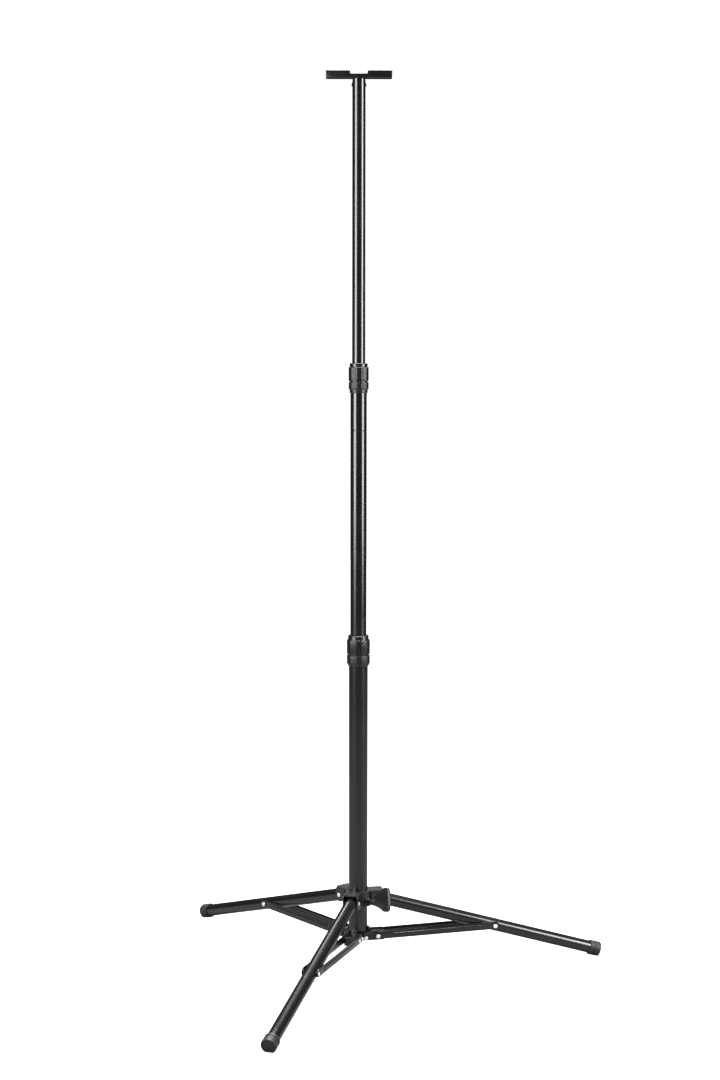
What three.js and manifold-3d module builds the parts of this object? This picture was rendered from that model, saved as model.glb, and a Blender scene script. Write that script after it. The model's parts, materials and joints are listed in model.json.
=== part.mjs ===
// Telescopic tripod stand with a channel head. Millimetres, +Z up.
// The origin is on the pole's axis at floor level, and +X runs along the head channel.
import * as THREE from 'three';
import { mergeVertices } from 'three/addons/utils/BufferGeometryUtils.js';
import Module from 'manifold-3d';

const wasm = await Module();
wasm.setup();

// ---------- driving dimensions ----------

const GAP = 0.3;                 // between pieces that rest on each other
const FIT = 0.2;                 // radial play of a shaft in its hole
const ROUND = 32;                // facets round the pole
const MEDIUM = 24;               // facets round a leg
const FINE = 12;                 // facets round a rivet or a screw
const EPSILON = 0.5;             // how far a cutter reaches past the face it opens
const ARC = 5;                   // segments of one curve of a plate's outline
const ROOM = 40;                 // size of a block that only cuts

// The pole's three tubes
const OUTER = { radius: 15, wall: 1.2, bottom: 66.8, top: 530.5 };
const MIDDLE = { radius: 12.7, wall: 1.1, bottom: 470, top: 958.5 };
const TOP = { radius: 10.2, wall: 1.1, bottom: 888, top: 1407.3 };
const BUSH = { flange: 3.5, length: 24 };

// The two twist locks: a ribbed base on the lower tube, a ribbed nut, and a collet between them
const GRIP = {
  pairs: 6, firstPad: 4, padWidth: 40, ribWidth: 8, padSteps: 4, depth: 0.95, seam: 1.6, edge: 1,
  neckWall: 1, colletWall: 1.7, lip: 2, taper: 2, taperIn: 0.8,
};
const LOWER_LOCK = {
  name: 'lower_lock', tube: OUTER, inner: MIDDLE, bottom: 495, seam: 512.6, top: 543.5,
  grip: 18.25, cap: 16.25, capHeight: 7, foot: [16.7, 18], footHeight: 3,
};
const UPPER_LOCK = {
  name: 'upper_lock', tube: MIDDLE, inner: TOP, bottom: 925, seam: 943, top: 971.7,
  grip: 15.75, cap: 14, capHeight: 6.2, foot: [14, 14.2], footHeight: 6,
};

// The head: a U channel with its web at the bottom, held to a plug in the top tube
const HEAD = {
  length: 102, width: 21, height: 11.4, sheet: 1.8, top: 1419,
  notchWidth: 27, notchDepth: 5.2, chamfer: 1.5,
};
const HEAD_PLUG = { length: 32, bore: 2.7 };
const HEAD_BOLT = {
  radius: 2.5, length: 24, headRadius: 6, headHeight: 1.6, shoulder: [0.85, 0.6], flat: 0.5,
};
const HEAD_SCREW = { radius: 1.8, headRadius: 3, flat: 0.8, proud: 1.2, z: 1398, reach: 4 };

// The tripod. A leg's own plane is radial: x is the distance from the pole, z the height
const LEG_COUNT = 3;
const FIRST_LEG_AZIMUTH = 11.67;
const COLLAR_PIVOT = { x: 32.8, z: 118.5 };
const FOOT_CENTRE = { x: 396.5, z: 12 };
const LEG = { radius: 10, wall: 1.2, behindPivot: 5, capLap: 17.5, length: 387, endGap: 0.6 };
const FOOT = { radius: 12, grooveAt: 5, grooveWidth: 1.4, grooveDepth: 0.8, edge: 0.8, rim: 1.2 };
const BRACE = { pivotOnLeg: 200, inside: 11.5, thickness: 1.5, width: 12.4, rise: 1.5 };
const BRACE_RIB = { endGap: 27.2, width: 5.2, height: 1 };
const HUB_PIVOT = { x: 30.4, z: 57 };
const HUB_RIVET = { x: 10.7, z: 54.4 };

// The hub under the outer tube, and its three U brackets
const HUB = {
  halfWidth: 9.7, bottom: 50.3, top: 65, reach: 41, stemBottom: 51.3, neck: 9.5, coreTop: 80, edge: 1,
  tongueFrom: 15.3, tongueTo: 19, tongueHalfWidth: 5, tongueTop: 71,
};
const BRACKET = {
  inside: 10, sheet: 1.2, bottom: 51, top: 66.5, webFrom: 19.3, webTo: 41, start: 7.5, end: 36,
};

// The collar that slides on the outer tube
const COLLAR = {
  top: 132.5, plate: 2, armHalfWidth: 12.5, armReach: 40, corner: 3.5, fillet: 14,
  earInside: 10.9, earFrom: 18.5, earBottom: 108.5, earRound: 9, sleeve: 20, sleeveBottom: 111,
};

// The wing knob: its screw leans up and away from the collar, midway between two legs
const KNOB = {
  azimuth: -48.33, x: 26.5, z: 116.9, lean: 17, roll: -12.6,
  length: 50, thickness: 5, rootHalf: 4, lobeHalf: 19, lobeRadius: 6, hub: 4.3, hubLength: 14,
  start: 0.8, waistAt: 0.42, waist: 7.5, shoulder: 1.6, neck: 4.2, crown: 1.2,
};
const BOSS = { radius: 6, root: 22.5, insert: 4.4, insertLength: 7 };
const STUD = { radius: 2.5, inward: 11, outward: 9, run: 3 };

// Rivets
const RIVET = { shank: 2.2, head: 3.2, headHeight: 0.95, flat: 0.7 };
const WASHER = { radius: 5, thickness: 0.85, gap: 0.35 };

// ---------- materials ----------

function finish(color, roughness, metalness) {
  return new THREE.MeshStandardMaterial({ color, roughness, metalness });
}
const blackCoat = finish(0x17181a, 0.38, 0.35);
const blackNylon = finish(0x222325, 0.62, 0);
const glossPlastic = finish(0x1a1b1d, 0.35, 0);
const brightSteel = finish(0xc9cbce, 0.28, 0.95);
const darkSteel = finish(0x2b2c2e, 0.45, 0.8);
const brass = finish(0xb08d4c, 0.4, 0.9);
const rubber = finish(0x1c1c1d, 0.85, 0);

// ---------- solids ----------

const turn = THREE.MathUtils.degToRad;

function solid(geometry) {
  geometry.deleteAttribute('normal');
  geometry.deleteAttribute('uv');
  const merged = mergeVertices(geometry, 1e-4);
  const index = merged.index.array;
  const triangles = [];
  for (let i = 0; i < index.length; i += 3) {
    const [a, b, c] = [index[i], index[i + 1], index[i + 2]];
    if (a !== b && b !== c && c !== a) triangles.push(a, b, c);
  }
  const build = (list) => new wasm.Manifold(new wasm.Mesh({
    numProp: 3,
    vertProperties: new Float32Array(merged.attributes.position.array),
    triVerts: new Uint32Array(list),
  }));
  const body = build(triangles);
  return body.volume() < 0 ? build(triangles.reverse()) : body;
}

function join(...bodies) {
  return bodies.reduce((whole, body) => whole.add(body));
}

function cut(body, ...cutters) {
  return cutters.reduce((rest, cutter) => rest.subtract(cutter), body);
}

// A body of revolution about Z from a closed outline of [radius, height] points
function turned(outline, facets = ROUND) {
  const points = [...outline, outline[0]].map(([r, z]) => new THREE.Vector2(r, z));
  return new THREE.LatheGeometry(points, facets).rotateX(turn(90));
}

function pipe(inside, outside, bottom, top, facets = ROUND) {
  return turned([[inside, bottom], [outside, bottom], [outside, top], [inside, top]], facets);
}

function rod(radius, bottom, top, facets = ROUND) {
  return turned([[0, bottom], [radius, bottom], [radius, top], [0, top]], facets);
}

function block(from, to) {
  const size = to.map((high, i) => high - from[i]);
  const middle = to.map((high, i) => (high + from[i]) / 2);
  return new THREE.BoxGeometry(...size).translate(...middle);
}

// A flat outline in x and z, as a plate that is thick along y
function upright(shape, thickness, middle) {
  const options = { depth: thickness, bevelEnabled: false, curveSegments: ARC };
  const plate = new THREE.ExtrudeGeometry(shape, options);
  return plate.rotateX(turn(90)).translate(0, middle + thickness / 2, 0);
}

function alongX(geometry) {
  return geometry.rotateY(turn(90));
}

function alongY(geometry) {
  return geometry.rotateX(turn(-90));
}

function placed(geometry, ...matrices) {
  for (const matrix of matrices) geometry.applyMatrix4(matrix);
  return geometry;
}

function shift(x, y, z) {
  return new THREE.Matrix4().makeTranslation(x, y, z);
}

function spun(geometry, azimuth) {
  return placed(geometry, new THREE.Matrix4().makeRotationZ(turn(azimuth)));
}

// ---------- the scene graph ----------

const stand = new THREE.Group();

function piece(name, body, material, parent = stand) {
  const mesh = body.getMesh();
  const geometry = new THREE.BufferGeometry();
  geometry.setAttribute('position', new THREE.BufferAttribute(mesh.vertProperties, 3));
  geometry.setIndex(new THREE.BufferAttribute(mesh.triVerts, 1));
  geometry.computeVertexNormals();
  const part = new THREE.Mesh(geometry, material);
  part.name = name;
  parent.add(part);
  return part;
}

// ---------- the pole ----------

function poleTube(tube) {
  return solid(pipe(tube.radius - tube.wall, tube.radius, tube.bottom, tube.top));
}

// An L-section ring on a tube's lower end, running inside the next tube down
function guideBush(tube, around) {
  const inner = tube.radius - tube.wall;
  const outer = around.radius - around.wall - FIT;
  const low = tube.bottom - GAP - BUSH.flange;
  const high = low + BUSH.length;
  const sleeve = tube.radius + FIT;
  return solid(turned([
    [inner, low], [outer, low], [outer, high], [sleeve, high],
    [sleeve, tube.bottom - GAP], [inner, tube.bottom - GAP],
  ]));
}

function buildPole() {
  piece('outer_tube', poleTube(OUTER), blackCoat);
  piece('middle_tube', poleTube(MIDDLE), blackCoat);
  piece('middle_guide_bush', guideBush(MIDDLE, OUTER), blackNylon);
  piece('top_guide_bush', guideBush(TOP, MIDDLE), blackNylon);
  const screwHole = alongX(rod(HEAD_SCREW.radius + FIT, -TOP.radius - 1, TOP.radius + 1, FINE));
  const drilled = cut(poleTube(TOP), solid(placed(screwHole, shift(0, 0, HEAD_SCREW.z))));
  piece('top_tube', drilled, blackCoat);
}

// ---------- the twist locks ----------

// The raised arc of one pad or rib: up at one side, round, and down at the other
function raisedArc(middle, width, steps, radius) {
  const at = (degrees, r) => new THREE.Vector2(r * Math.cos(turn(degrees)), r * Math.sin(turn(degrees)));
  const first = middle - width / 2;
  const arc = Array.from({ length: steps + 1 }, (_, i) => at(first + (i * width) / steps, radius));
  return [at(first, radius - GRIP.depth), ...arc, at(first + width, radius - GRIP.depth)];
}

// Wide pads and narrow ribs in turn round a grip, with a groove between neighbours
function gripOutline(radius) {
  const step = 360 / GRIP.pairs;
  const outline = Array.from({ length: GRIP.pairs }, (_, i) => GRIP.firstPad + i * step)
    .flatMap((middle) => [
      ...raisedArc(middle, GRIP.padWidth, GRIP.padSteps, radius),
      ...raisedArc(middle + step / 2, GRIP.ribWidth, 1, radius),
    ]);
  return new THREE.Shape(outline);
}

function grip(radius, bottom, top) {
  const depth = top - bottom;
  return new THREE.ExtrudeGeometry(gripOutline(radius), { depth, bevelEnabled: false })
    .translate(0, 0, bottom);
}

function buildLock(lock) {
  const { tube, inner } = lock;
  const seat = tube.radius + FIT;
  const neck = seat + GRIP.neckWall;
  const padBottom = lock.bottom + lock.footHeight;

  // Base: clamped on the lower tube, its neck carries the nut's thread
  const baseTop = lock.seam - GRIP.seam / 2;
  const foot = solid(turned([
    [0, lock.bottom], [lock.foot[0], lock.bottom], [lock.foot[1], padBottom], [0, padBottom],
  ]));
  const neckRod = solid(rod(neck, padBottom, tube.top));
  const base = join(foot, neckRod, solid(grip(lock.grip, padBottom, baseTop)));
  const tubeHole = solid(rod(seat, lock.bottom - EPSILON, tube.top + EPSILON));
  piece(`${lock.name}_base`, cut(base, tubeHole), blackNylon);

  // Nut: a ribbed skirt over the neck and a smooth cap over the collet
  const nutBottom = lock.seam + GRIP.seam / 2;
  const capBottom = lock.top - lock.capHeight;
  const body = join(
    solid(grip(lock.grip, nutBottom, capBottom)),
    solid(turned([
      [0, nutBottom + GRIP.edge], [lock.cap, nutBottom + GRIP.edge], [lock.cap, lock.top - GRIP.edge],
      [lock.cap - GRIP.edge, lock.top], [0, lock.top],
    ])),
  );
  const colletOutside = inner.radius + FIT + GRIP.colletWall;
  const nutHole = join(
    solid(rod(neck + FIT, nutBottom - EPSILON, tube.top + GAP)),
    solid(rod(colletOutside + GAP, tube.top, lock.top - GRIP.lip)),
    solid(rod(inner.radius + GAP, tube.top, lock.top + EPSILON)),
  );
  piece(`${lock.name}_nut`, cut(body, nutHole), glossPlastic);

  // Collet: a split ring that the nut squeezes on the upper tube
  const low = tube.top + GAP;
  const high = lock.top - GRIP.lip - GAP;
  const ring = solid(turned([
    [inner.radius + FIT, low], [colletOutside, low], [colletOutside, high - GRIP.taper],
    [colletOutside - GRIP.taperIn, high], [inner.radius + FIT, high],
  ]));
  const slit = solid(block([0, -1, low - EPSILON], [colletOutside + 1, 1, high + EPSILON]));
  piece(`${lock.name}_collet`, cut(ring, slit), blackNylon);
}

// ---------- the head ----------

function buildHead() {
  const { length, width, height, sheet, top, chamfer } = HEAD;
  const bottom = top - height;
  const half = length / 2;
  const side = width / 2;
  const outside = solid(block([-half, -side, bottom], [half, side, top]));
  const trough = solid(block(
    [-half - EPSILON, sheet - side, bottom + sheet],
    [half + EPSILON, side - sheet, top + EPSILON],
  ));
  const notch = solid(block(
    [-HEAD.notchWidth / 2, -side - EPSILON, top - HEAD.notchDepth],
    [HEAD.notchWidth / 2, side + EPSILON, top + EPSILON],
  ));
  const corner = chamfer * Math.SQRT2;
  const trims = [-half, half].map((x) => solid(placed(
    block([-corner / 2, -side - EPSILON, -corner / 2], [corner / 2, side + EPSILON, corner / 2]),
    new THREE.Matrix4().makeRotationY(turn(45)),
    shift(x, 0, bottom),
  )));
  const boltHole = solid(rod(HEAD_BOLT.radius + FIT, bottom - EPSILON, top, FINE));
  piece('head_channel', cut(outside, trough, notch, ...trims, boltHole), blackCoat);

  // Plug: fills the tube's top end and takes the bolt and the two cross screws
  const plugRadius = TOP.radius - TOP.wall - FIT;
  const plugTop = TOP.top;
  const crossHoles = [-1, 1].map((way) => solid(placed(
    alongX(rod(HEAD_SCREW.radius + FIT, HEAD_SCREW.reach - FIT, plugRadius + 1, FINE)),
    new THREE.Matrix4().makeRotationZ(way < 0 ? Math.PI : 0),
    shift(0, 0, HEAD_SCREW.z),
  )));
  const plug = cut(
    solid(rod(plugRadius, plugTop - HEAD_PLUG.length, plugTop)),
    solid(rod(HEAD_PLUG.bore, plugTop - HEAD_PLUG.length - EPSILON, plugTop + EPSILON, FINE)),
    ...crossHoles,
  );
  piece('head_plug', plug, blackNylon);

  // Bolt: a low domed head on the channel's web
  const seat = bottom + sheet + GAP / 2;
  const { radius, headRadius, headHeight, shoulder, flat } = HEAD_BOLT;
  piece('head_bolt', solid(turned([
    [0, seat - HEAD_BOLT.length], [radius, seat - HEAD_BOLT.length], [radius, seat], [headRadius, seat],
    [headRadius * shoulder[0], seat + headHeight * shoulder[1]], [headRadius * flat, seat + headHeight],
    [0, seat + headHeight],
  ], FINE)), darkSteel);

  // Cross screws: one from each side, through the tube's wall into the plug
  for (const [name, azimuth] of [['head_screw_right', 0], ['head_screw_left', 180]]) {
    const group = new THREE.Group();
    group.rotation.z = turn(azimuth);
    group.position.z = HEAD_SCREW.z;
    stand.add(group);
    const face = TOP.radius + FIT;
    const end = TOP.radius + HEAD_SCREW.proud;
    piece(name, solid(alongX(turned([
      [0, HEAD_SCREW.reach], [HEAD_SCREW.radius, HEAD_SCREW.reach], [HEAD_SCREW.radius, face],
      [HEAD_SCREW.headRadius, face], [HEAD_SCREW.headRadius * HEAD_SCREW.flat, end], [0, end],
    ], FINE))), darkSteel, group);
  }
}

// ---------- rivets ----------

// A rivet along y, with a low domed head at both ends, or at the near end only
function rivet(inner, outer, bothHeads) {
  const { shank, head, headHeight, flat } = RIVET;
  const dome = (way) => [
    [head, way * outer], [head * flat, way * (outer + headHeight)], [0, way * (outer + headHeight)],
  ];
  const outline = bothHeads
    ? [...dome(-1).reverse(), [shank, -outer], [shank, outer], ...dome(1)]
    : [[0, inner], [shank, inner], [shank, outer], ...dome(1)];
  return alongY(turned(outline, FINE));
}

function rivetHole({ x, z }, reach, azimuth = 0) {
  const hole = alongY(rod(RIVET.shank + FIT, -reach, reach, FINE)).translate(x, 0, z);
  return solid(spun(hole, azimuth));
}

// ---------- the tripod ----------

const legSlope = Math.atan2(COLLAR_PIVOT.z - FOOT_CENTRE.z, FOOT_CENTRE.x - COLLAR_PIVOT.x);
const pivotOnLeg = {
  x: COLLAR_PIVOT.x + BRACE.pivotOnLeg * Math.cos(legSlope),
  z: COLLAR_PIVOT.z - BRACE.pivotOnLeg * Math.sin(legSlope),
};
const braceSpan = Math.hypot(pivotOnLeg.x - HUB_PIVOT.x, pivotOnLeg.z - HUB_PIVOT.z);
const braceSlope = Math.atan2(pivotOnLeg.z - HUB_PIVOT.z, pivotOnLeg.x - HUB_PIVOT.x);
const legAzimuths = Array.from({ length: LEG_COUNT }, (_, i) => FIRST_LEG_AZIMUTH + (i * 360) / LEG_COUNT);
const legNames = ['right', 'left', 'front'];

function buildHub() {
  const arms = legAzimuths.flatMap((azimuth) => [
    solid(spun(block([0, -HUB.halfWidth, HUB.bottom], [HUB.reach, HUB.halfWidth, HUB.top]), azimuth)),
    solid(spun(block(
      [HUB.tongueFrom, -HUB.tongueHalfWidth, HUB.top - EPSILON],
      [HUB.tongueTo, HUB.tongueHalfWidth, HUB.tongueTop],
    ), azimuth)),
  ]);
  const core = OUTER.radius - OUTER.wall - FIT;
  const stem = solid(turned([
    [0, HUB.stemBottom], [HUB.neck, HUB.stemBottom], [HUB.neck, OUTER.bottom], [core, OUTER.bottom],
    [core, HUB.coreTop - HUB.edge], [core - HUB.edge, HUB.coreTop], [0, HUB.coreTop],
  ]));
  const holes = legAzimuths.flatMap((azimuth) => [HUB_RIVET, HUB_PIVOT].map(
    (place) => rivetHole(place, HUB.halfWidth + EPSILON, azimuth),
  ));
  piece('lower_hub', cut(join(stem, ...arms), ...holes), blackNylon);
}

function bracketBody() {
  const { inside, sheet, bottom, top, webFrom, webTo, start, end } = BRACKET;
  const outside = inside + sheet;
  const side = new THREE.Shape();
  side.moveTo(start, bottom);
  side.lineTo(end, bottom);
  side.lineTo(webTo, top);
  side.lineTo(start, top);
  side.closePath();
  const flanges = [-1, 1].map((way) => solid(upright(side, sheet, way * (inside + sheet / 2))));
  const web = solid(block([webFrom, -outside, top - sheet], [webTo, outside, top]));
  const slope = solid(placed(
    block([0, -ROOM, -ROOM], [ROOM, ROOM, ROOM]),
    new THREE.Matrix4().makeRotationY(Math.atan2(webTo - end, top - bottom)),
    shift(webTo, 0, top),
  ));
  const holes = [HUB_RIVET, HUB_PIVOT].map((place) => rivetHole(place, outside + EPSILON));
  return cut(join(web, ...flanges), slope, ...holes);
}

// The star plate that ties the collar's three arms together
function starPlate() {
  const { armHalfWidth, armReach, corner, fillet } = COLLAR;
  const bisector = 180 / LEG_COUNT;
  const filletAt = (armHalfWidth + fillet) / Math.sin(turn(bisector));
  const shape = new THREE.Shape();
  legAzimuths.forEach((azimuth, arm) => {
    const at = (x, y) => new THREE.Vector2(x, y).rotateAround(new THREE.Vector2(), turn(azimuth));
    const low = at(filletAt * Math.cos(turn(bisector)), -armHalfWidth);
    if (arm === 0) shape.moveTo(low.x, low.y);
    const near = at(armReach - corner, corner - armHalfWidth);
    shape.absarc(near.x, near.y, corner, turn(azimuth - 90), turn(azimuth), false);
    const far = at(armReach - corner, armHalfWidth - corner);
    shape.absarc(far.x, far.y, corner, turn(azimuth), turn(azimuth + 90), false);
    const hollow = at(filletAt * Math.cos(turn(bisector)), filletAt * Math.sin(turn(bisector)));
    shape.absarc(hollow.x, hollow.y, fillet, turn(azimuth - 90), turn(azimuth - 90 - bisector), true);
  });
  const options = { depth: COLLAR.plate, bevelEnabled: false, curveSegments: ARC };
  return new THREE.ExtrudeGeometry(shape, options).translate(0, 0, COLLAR.top - COLLAR.plate);
}

function earOutline() {
  const { armReach, corner, earFrom, earBottom, earRound, sleeveBottom, top, plate } = COLLAR;
  const underPlate = top - plate / 2;
  const shape = new THREE.Shape();
  shape.moveTo(earFrom, underPlate);
  shape.lineTo(earFrom, sleeveBottom + plate / 2);
  shape.lineTo(COLLAR_PIVOT.x - earRound / 2, earBottom);
  shape.absarc(armReach - earRound, earBottom + earRound, earRound, turn(-90), turn(0), false);
  shape.lineTo(armReach, top - corner);
  shape.lineTo(armReach - corner, underPlate);
  shape.closePath();
  return shape;
}

// From the knob's own frame (x out along its screw) to the stand's
const knobFrame = new THREE.Matrix4()
  .makeRotationZ(turn(KNOB.azimuth))
  .multiply(shift(KNOB.x, 0, KNOB.z))
  .multiply(new THREE.Matrix4().makeRotationY(turn(-KNOB.lean)));

function buildCollar() {
  const { earInside, armHalfWidth, sleeve, sleeveBottom, top, plate } = COLLAR;
  const earSheet = armHalfWidth - earInside;
  const ears = legAzimuths.flatMap((azimuth) => [-1, 1].map((way) => solid(
    spun(upright(earOutline(), earSheet, way * (earInside + earSheet / 2)), azimuth),
  )));
  const boss = solid(placed(alongX(rod(BOSS.radius, -BOSS.root, 0, FINE)), knobFrame));
  const sleeveRod = solid(rod(sleeve, sleeveBottom, top - plate / 2));
  const body = join(solid(starPlate()), sleeveRod, boss, ...ears);
  const tubeHole = solid(rod(OUTER.radius + GAP, 0, top + EPSILON));
  const studHole = solid(placed(
    alongX(rod(STUD.radius + FIT, -STUD.inward - STUD.run, EPSILON, FINE)),
    knobFrame,
  ));
  const insertHole = solid(placed(
    alongX(rod(BOSS.insert + FIT, -BOSS.insertLength - GAP, EPSILON, FINE)),
    knobFrame,
  ));
  const pivotHoles = legAzimuths.map(
    (azimuth) => rivetHole(COLLAR_PIVOT, armHalfWidth + EPSILON, azimuth),
  );
  piece('collar', cut(body, tubeHole, studHole, insertHole, ...pivotHoles), blackNylon);
}

// The wing: narrow at its root, waisted, and flared to two round lobes with a bowed edge between
function wingOutline() {
  const { length, rootHalf, lobeHalf, lobeRadius, start, waistAt, waist, shoulder, neck, crown } = KNOB;
  const lobe = { x: length - lobeRadius, y: lobeHalf - lobeRadius };
  const flare = lobe.x - lobeRadius * shoulder;
  const shape = new THREE.Shape();
  shape.moveTo(start, -rootHalf);
  shape.quadraticCurveTo(length * waistAt, -waist, flare, -lobe.y - neck);
  shape.quadraticCurveTo(lobe.x - lobeRadius, -lobeHalf, lobe.x, -lobeHalf);
  shape.absarc(lobe.x, -lobe.y, lobeRadius, turn(-90), turn(0), false);
  shape.quadraticCurveTo(length + crown, 0, length, lobe.y);
  shape.absarc(lobe.x, lobe.y, lobeRadius, turn(0), turn(90), false);
  shape.quadraticCurveTo(lobe.x - lobeRadius, lobeHalf, flare, lobe.y + neck);
  shape.quadraticCurveTo(length * waistAt, waist, start, rootHalf);
  shape.closePath();
  return shape;
}

function buildKnob() {
  const group = new THREE.Group();
  group.applyMatrix4(knobFrame);
  stand.add(group);
  const wing = solid(placed(
    upright(wingOutline(), KNOB.thickness, 0),
    new THREE.Matrix4().makeRotationX(turn(KNOB.roll)),
  ));
  const hub = solid(alongX(rod(KNOB.hub, KNOB.start, KNOB.hubLength, FINE)));
  const socket = solid(alongX(rod(STUD.radius + FIT, 0, STUD.outward + GAP, FINE)));
  piece('wing_knob', cut(join(wing, hub), socket), blackNylon, group);
  piece('clamp_stud', solid(alongX(rod(STUD.radius, -STUD.inward, STUD.outward, FINE))), darkSteel, group);
  const insert = pipe(STUD.radius + FIT, BOSS.insert, -BOSS.insertLength, -GAP, FINE);
  piece('collar_insert', solid(alongX(insert)), brass, group);
}

function legTube() {
  const end = LEG.length - FOOT.rim - LEG.endGap;
  const tube = solid(alongX(pipe(LEG.radius - LEG.wall, LEG.radius, -LEG.behindPivot, end, MEDIUM)));
  return cut(tube, rivetHole({ x: 0, z: 0 }, LEG.radius + EPSILON));
}

// A slip-on cap with one groove round it, and a flat where it stands on the floor
function footCap(legFrame) {
  const { radius, grooveAt, grooveWidth, grooveDepth, edge, rim } = FOOT;
  const start = LEG.length - LEG.capLap;
  const groove = start + grooveAt;
  const seat = LEG.radius + FIT;
  const body = solid(alongX(turned([
    [seat, start], [radius, start], [radius, groove],
    [radius - grooveDepth, groove], [radius - grooveDepth, groove + grooveWidth],
    [radius, groove + grooveWidth], [radius, LEG.length - edge], [radius - edge, LEG.length],
    [0, LEG.length], [0, LEG.length - rim], [seat, LEG.length - rim],
  ], MEDIUM)));
  const floor = placed(
    block([FOOT_CENTRE.x - ROOM, -ROOM, -ROOM], [FOOT_CENTRE.x + ROOM, ROOM, 0]),
    new THREE.Matrix4().copy(legFrame).invert(),
  );
  return cut(body, solid(floor));
}

// A flat bar with round ends, and a long pressed rib on its outer face. The bar's middle line lies a
// little above its two rivets
function braceBar(way) {
  const { width, thickness, inside, rise } = BRACE;
  const { endGap, height } = BRACE_RIB;
  const slot = (from, to, radius) => {
    const shape = new THREE.Shape();
    shape.absarc(from, rise, radius, turn(90), turn(270), false);
    shape.absarc(to, rise, radius, turn(-90), turn(90), false);
    shape.closePath();
    return shape;
  };
  const bar = slot(0, braceSpan, width / 2);
  const rib = slot(endGap, braceSpan - endGap, BRACE_RIB.width / 2);
  const outside = inside + thickness;
  const plate = solid(upright(bar, thickness, way * (inside + thickness / 2)));
  const raised = solid(upright(rib, height + thickness / 2, way * (outside + height / 2 - thickness / 4)));
  const holes = [0, braceSpan].map((x) => rivetHole({ x, z: 0 }, outside + EPSILON));
  return cut(join(plate, raised), ...holes);
}

function buildLeg(name, azimuth) {
  const spoke = new THREE.Group();
  spoke.rotation.z = turn(azimuth);
  stand.add(spoke);

  // Fixed under the tube: the bracket, its hub rivet, and the rivet that the brace turns on
  piece(`hub_bracket_${name}`, bracketBody(), blackCoat, spoke);
  const bracketFace = BRACKET.inside + BRACKET.sheet + GAP / 2;
  const hubRivet = rivet(0, bracketFace, true).translate(HUB_RIVET.x, 0, HUB_RIVET.z);
  piece(`hub_rivet_${name}`, solid(hubRivet), brightSteel, spoke);
  const barFace = BRACE.inside + BRACE.thickness + GAP / 2;
  const pivotRivet = rivet(0, barFace, true).translate(HUB_PIVOT.x, 0, HUB_PIVOT.z);
  piece(`brace_pivot_rivet_${name}`, solid(pivotRivet), brightSteel, spoke);

  // On the collar: the rivet that the leg turns on
  const earFace = COLLAR.armHalfWidth + GAP / 2;
  const legRivet = rivet(0, earFace, true).translate(COLLAR_PIVOT.x, 0, COLLAR_PIVOT.z);
  piece(`leg_pivot_rivet_${name}`, solid(legRivet), brightSteel, spoke);

  // The leg: x runs down the tube from its pivot
  const leg = new THREE.Group();
  leg.position.set(COLLAR_PIVOT.x, 0, COLLAR_PIVOT.z);
  leg.rotation.y = legSlope;
  leg.updateMatrix();
  spoke.add(leg);
  piece(`leg_tube_${name}`, legTube(), blackCoat, leg);
  piece(`foot_cap_${name}`, footCap(leg.matrix), rubber, leg);

  // The brace: two bars, and a rivet with a spacer washer on each side of the leg
  const brace = new THREE.Group();
  brace.position.set(HUB_PIVOT.x, 0, HUB_PIVOT.z);
  brace.rotation.y = -braceSlope;
  spoke.add(brace);
  for (const [side, way] of [['a', 1], ['b', -1]]) {
    piece(`brace_bar_${name}_${side}`, braceBar(way), blackCoat, brace);
    const turnedRound = new THREE.Matrix4().makeRotationX(way > 0 ? 0 : Math.PI);
    const start = LEG.radius + WASHER.gap;
    const stub = placed(rivet(start, barFace, false), turnedRound).translate(braceSpan, 0, 0);
    piece(`brace_rivet_${name}_${side}`, solid(stub), brightSteel, brace);
    const washer = placed(
      alongY(pipe(RIVET.shank + FIT, WASHER.radius, start, start + WASHER.thickness, FINE)),
      turnedRound,
    ).translate(braceSpan, 0, 0);
    piece(`brace_washer_${name}_${side}`, solid(washer), blackNylon, brace);
  }
}

buildPole();
buildLock(LOWER_LOCK);
buildLock(UPPER_LOCK);
buildHead();
buildHub();
buildCollar();
buildKnob();
legAzimuths.forEach((azimuth, i) => buildLeg(legNames[i], azimuth));

export default stand;
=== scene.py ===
# %% [markdown]
# # A telescopic tripod stand
# This lesson dresses a packed mechanical model in Blender. The frame already knows every part's size,
# place and joint. Each cell below makes one piece of the stand round that frame, or one finish, and
# lets the piece ride on the body that carries it. All lengths are in metres, +Z is up, and the pole's
# axis is x = 0, y = 0.

# %% Load the frame
import json
import math

import bmesh
import bpy
import numpy as np
from mathutils import Matrix, Vector


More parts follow.
